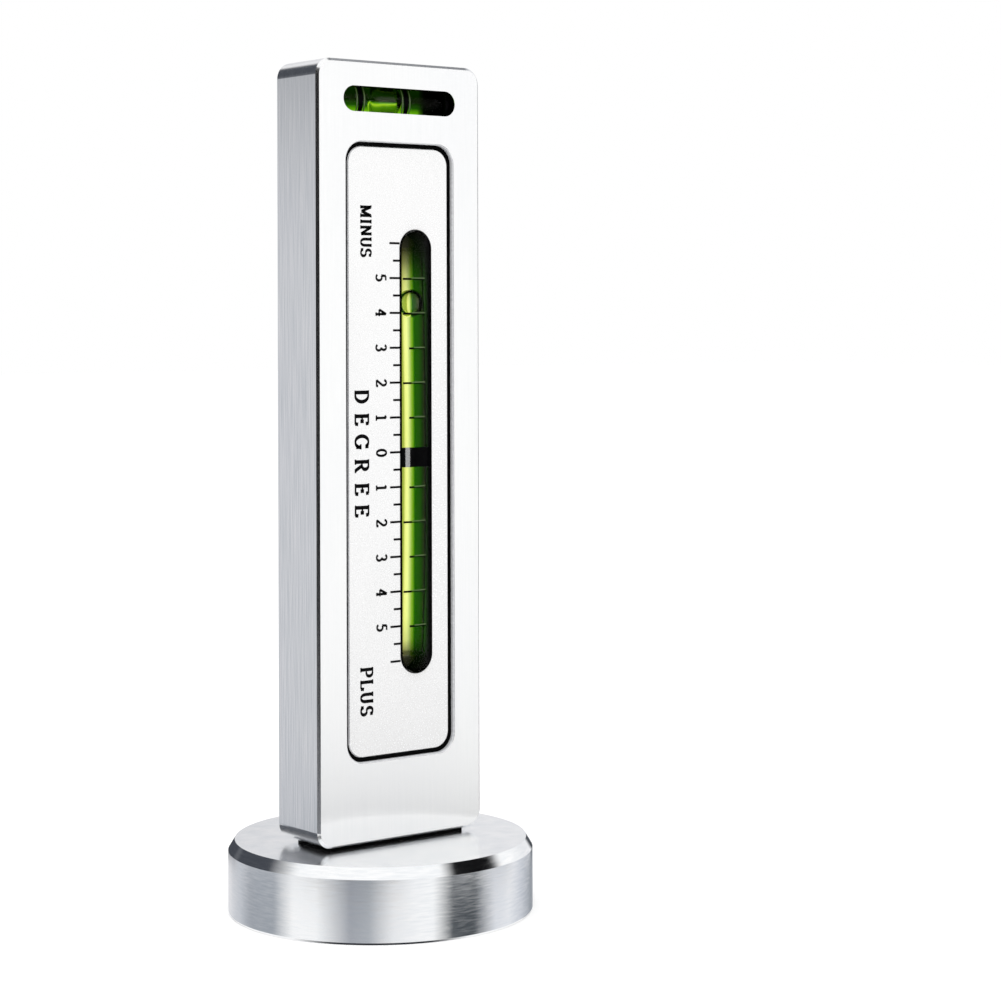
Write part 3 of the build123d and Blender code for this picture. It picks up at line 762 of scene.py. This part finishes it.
# The studio: a pale room whose panels the metal mirrors, and a white sweep under the object
studio = {
    # tone by compass angle from the camera, positive to its right, in bands of height
    "low": [(-180, "#e0e0e3"), (-155, "#e0e0e3"), (-128, "#c2c5cb"), (-112, "#a0a4ab"), (-84, "#9ea3aa"),
            (-66, "#fcfcfc"), (-46, "#ffffff"), (-20, "#a6a9b0"), (-6, "#b0b4ba"), (12, "#f4f4f5"),
            (42, "#fafafa"), (58, "#3c4248"), (77, "#3c4248"), (98, "#e0e2e7"), (114, "#ecedf0"),
            (132, "#cdd0d7"), (160, "#9499a0"), (180, "#b0b4ba")],
    "middle": [(-180, "#e4e4e7"), (-172, "#44474e"), (-142, "#44474e"), (-128, "#d0d1d5"), (-76, "#cbccd0"),
               (-58, "#b4b5b9"), (-44, "#0c0c0e"), (12, "#0c0c0e"), (28, "#f8f8f9"), (44, "#ffffff"),
               (90, "#ffffff"), (98, "#7c7e82"), (112, "#7c7e82"), (122, "#f0f0f2"), (156, "#f0f0f2"),
               (163, "#44474d"), (170, "#44474d"), (180, "#e4e4e7")],
    "shoulder": [(-180, "#e8e8ea"), (-168, "#e0e0e3"), (-158, "#44474e"), (-98, "#44474e"),
                 (-76, "#ffffff"), (-30, "#ffffff"), (-24, "#0c0c0e"), (2, "#0c0c0e"), (8, "#ffffff"),
                 (122, "#ffffff"), (150, "#e8e8ea"), (180, "#e8e8ea")],
    "brow": [(-180, "#e8e8ea"), (-144, "#e8e8ea"), (-134, "#44474e"), (-98, "#44474e"), (-70, "#ffffff"),
             (-26, "#ffffff"), (-20, "#0c0c0e"), (-4, "#0c0c0e"), (4, "#ffffff"), (58, "#ffffff"),
             (70, "#08080a"), (102, "#08080a"), (118, "#e8e8ea"), (180, "#e8e8ea")],
    "upper": [(-180, "#e8e8ea"), (-100, "#ffffff"), (58, "#ffffff"), (70, "#08080a"), (100, "#08080a"),
              (110, "#d6d8dc"), (120, "#3a3c42"), (136, "#3a3c42"), (144, "#d6d8dc"), (180, "#e8e8ea")],
    # degrees of height between which one band turns into the next; None is the white floor or ceiling,
    # and the lowest part, straight under the object, is its own dark shadow
    "bands": (((-66.0, -52.0), None), ((-19.0, -17.5), "low"), ((-12.4, -12.0), "middle"),
              ((3.0, 12.0), "shoulder"), ((24.0, 28.0), "brow"), ((36.0, 41.0), "upper"),
              ((62.0, 72.0), None)),
    "shadow": "#2c2e33",
    # strength of what metal mirrors, of the soft light on everything, and of what the camera sees
    "mirrored": 1.02, "soft": 0.86, "seen": 1.0}
# where the photograph was taken from; the horizon is given by its row in the picture
photoView = {"place": (-186.2, -264.7, 77.3), "turn": -37.95, "roll": 0.15, "lens": 88.2, "sensor": 36.0,
             "nearest": 10.0, "horizonPixel": 320.4, "framePixels": 1001}


def buildWorld():
    world = bpy.data.worlds.new("paleStudio")
    bpy.context.scene.world = world
    world.use_nodes = True
    tree = world.node_tree
    tree.nodes.clear()
    place = addNode(tree, "TexCoord")
    toCamera = radians(photoView["turn"] - 90)
    turned = addNode(tree, "Mapping", {"Vector": (place, "Generated"), "Rotation": (0, 0, -toCamera)})
    parts = addNode(tree, "SeparateXYZ", {0: (turned, 0)})
    angle = addNode(tree, "Math", {0: (parts, "Y"), 1: (parts, "X")}, operation="ARCTAN2")
    compass = addNode(tree, "MapRange", {"Value": (angle, 0), "From Min": -pi, "From Max": pi})
    room = hexToLinear(studio["shadow"])
    for (start, end), band in studio["bands"]:
        rise = addNode(tree, "MapRange", {"Value": (parts, "Z"), "From Min": sin(radians(start)),
                                          "From Max": sin(radians(end))})
        above = white
        if band:
            stops = [(angle / 360 + 0.5, tone) for angle, tone in studio[band]]
            above = (addNode(tree, "ValToRGB", {"Fac": (compass, 0)}, stops), 0)
        room = (addNode(tree, "Mix", {0: (rise, 0), 6: room, 7: above}, data_type="RGBA"), 2)
    path = addNode(tree, "LightPath")
    mirrored = addNode(tree, "Background", {"Color": room, "Strength": studio["mirrored"]})
    soft = addNode(tree, "Background", {"Color": white, "Strength": studio["soft"]})
    plain = addNode(tree, "Background", {"Color": white, "Strength": studio["seen"]})
    lit = addNode(tree, "MixShader", {0: (path, "Is Glossy Ray"), 1: (soft, 0), 2: (mirrored, 0)})
    seen = addNode(tree, "Math", {0: (path, "Is Camera Ray"), 1: (path, "Is Transmission Ray")},
                   operation="MAXIMUM")
    result = addNode(tree, "MixShader", {0: (seen, 0), 1: (lit, 0), 2: (plain, 0)})
    addNode(tree, "OutputWorld", {"Surface": (result, 0)})


# Painted board, rolled matt: white with the faintest roller mottle, lifted to the white of the picture
# where the camera sees it
rolledPaint = {"dark": "#f6f6f6", "light": "#f9f9f9", "grain": (9, 9, 9), "lift": 0.22, "reach": 3000}


def buildFloor():
    reach = rolledPaint["reach"] * mm
    mesh = bpy.data.meshes.new("sweep")
    mesh.from_pydata([(-reach, -reach, 0), (reach, -reach, 0), (reach, reach, 0), (-reach, reach, 0)], [],
                     [(0, 1, 2, 3)])
    floor = bpy.data.objects.new("sweep", mesh)
    bpy.context.scene.collection.objects.link(floor)
    material, tree = startMaterial("paintedBoardRolled")
    tones = rolledPaint["dark"], rolledPaint["light"]
    tone = addPattern(tree, addNode(tree, "TexCoord"), rolledPaint["grain"], 2.0, tones)[1]
    paint = addNode(tree, "BsdfDiffuse", {"Color": (tone, 0)})
    path = addNode(tree, "LightPath")
    seen = addNode(tree, "Math", {0: (path, "Is Camera Ray"), 1: (path, "Is Transmission Ray")},
                   operation="MAXIMUM")
    lift = addNode(tree, "Emission", {"Color": white, "Strength": rolledPaint["lift"]})
    none = addNode(tree, "Emission", {"Strength": 0.0})
    glow = addNode(tree, "MixShader", {0: (seen, 0), 1: (none, 0), 2: (lift, 0)})
    result = addNode(tree, "AddShader", {0: (paint, 0), 1: (glow, 0)})
    addNode(tree, "OutputMaterial", {"Surface": (result, 0)})
    mesh.materials.append(material)
    floor.visible_glossy = False  # the metal mirrors the room's low panels, as over a narrow table
    floor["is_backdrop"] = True


def buildCamera():
    data = bpy.data.cameras.new("photoCamera")
    data.lens = photoView["lens"]
    data.sensor_width = photoView["sensor"]
    data.clip_start = photoView["nearest"] * mm
    data.shift_y = (photoView["horizonPixel"] - photoView["framePixels"] / 2) / photoView["framePixels"]
    camera = bpy.data.objects.new("photoCamera", data)
    camera.location = [c * mm for c in photoView["place"]]
    camera.rotation_euler = (radians(90), radians(photoView["roll"]), radians(photoView["turn"]))
    bpy.context.scene.collection.objects.link(camera)
    bpy.context.scene.camera = camera


# Overhead: soft light for the floor and the plastics. Strip: a tall narrow panel that only the black
# band on the long vial mirrors, as an upright glint.
overheadLamp = {"place": (-250, -200, 800), "target": (0, 0, 50), "size": (700, 500), "watts": 2.0}
stripLamp = {"place": (172, -577, 45), "target": (0, 0, 45), "size": (85, 240), "watts": 14.0}


def buildLamp(name, look):
    data = bpy.data.lights.new(name, "AREA")
    data.shape = "RECTANGLE"
    data.size, data.size_y = (side * mm for side in look["size"])
    data.energy = look["watts"]
    lamp = bpy.data.objects.new(name, data)
    lamp.location = Vector(look["place"]) * mm
    lamp.rotation_euler = (Vector(look["target"]) * mm - lamp.location).to_track_quat("-Z", "Y").to_euler()
    lamp.visible_camera = False
    bpy.context.scene.collection.objects.link(lamp)
    return lamp


def buildLamps():
    overhead = buildLamp("overheadSoftbox", overheadLamp)
    overhead.visible_glossy = False
    lit = bpy.data.collections.new("litByStrip")
    lit.objects.link(zeroBand)
    strip = buildLamp("strip", stripLamp)
    strip.light_linking.receiver_collection = lit
    strip.visible_diffuse = False
    strip.visible_transmission = False


buildWorld()
buildFloor()
buildCamera()
buildLamps()
bpy.context.scene.view_settings.view_transform = "Standard"
print("studio lit")

boxes = {"cad": cadBox, "visual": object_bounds()}
{name: [[float(c) for c in corner] for corner in box] for name, box in boxes.items()}
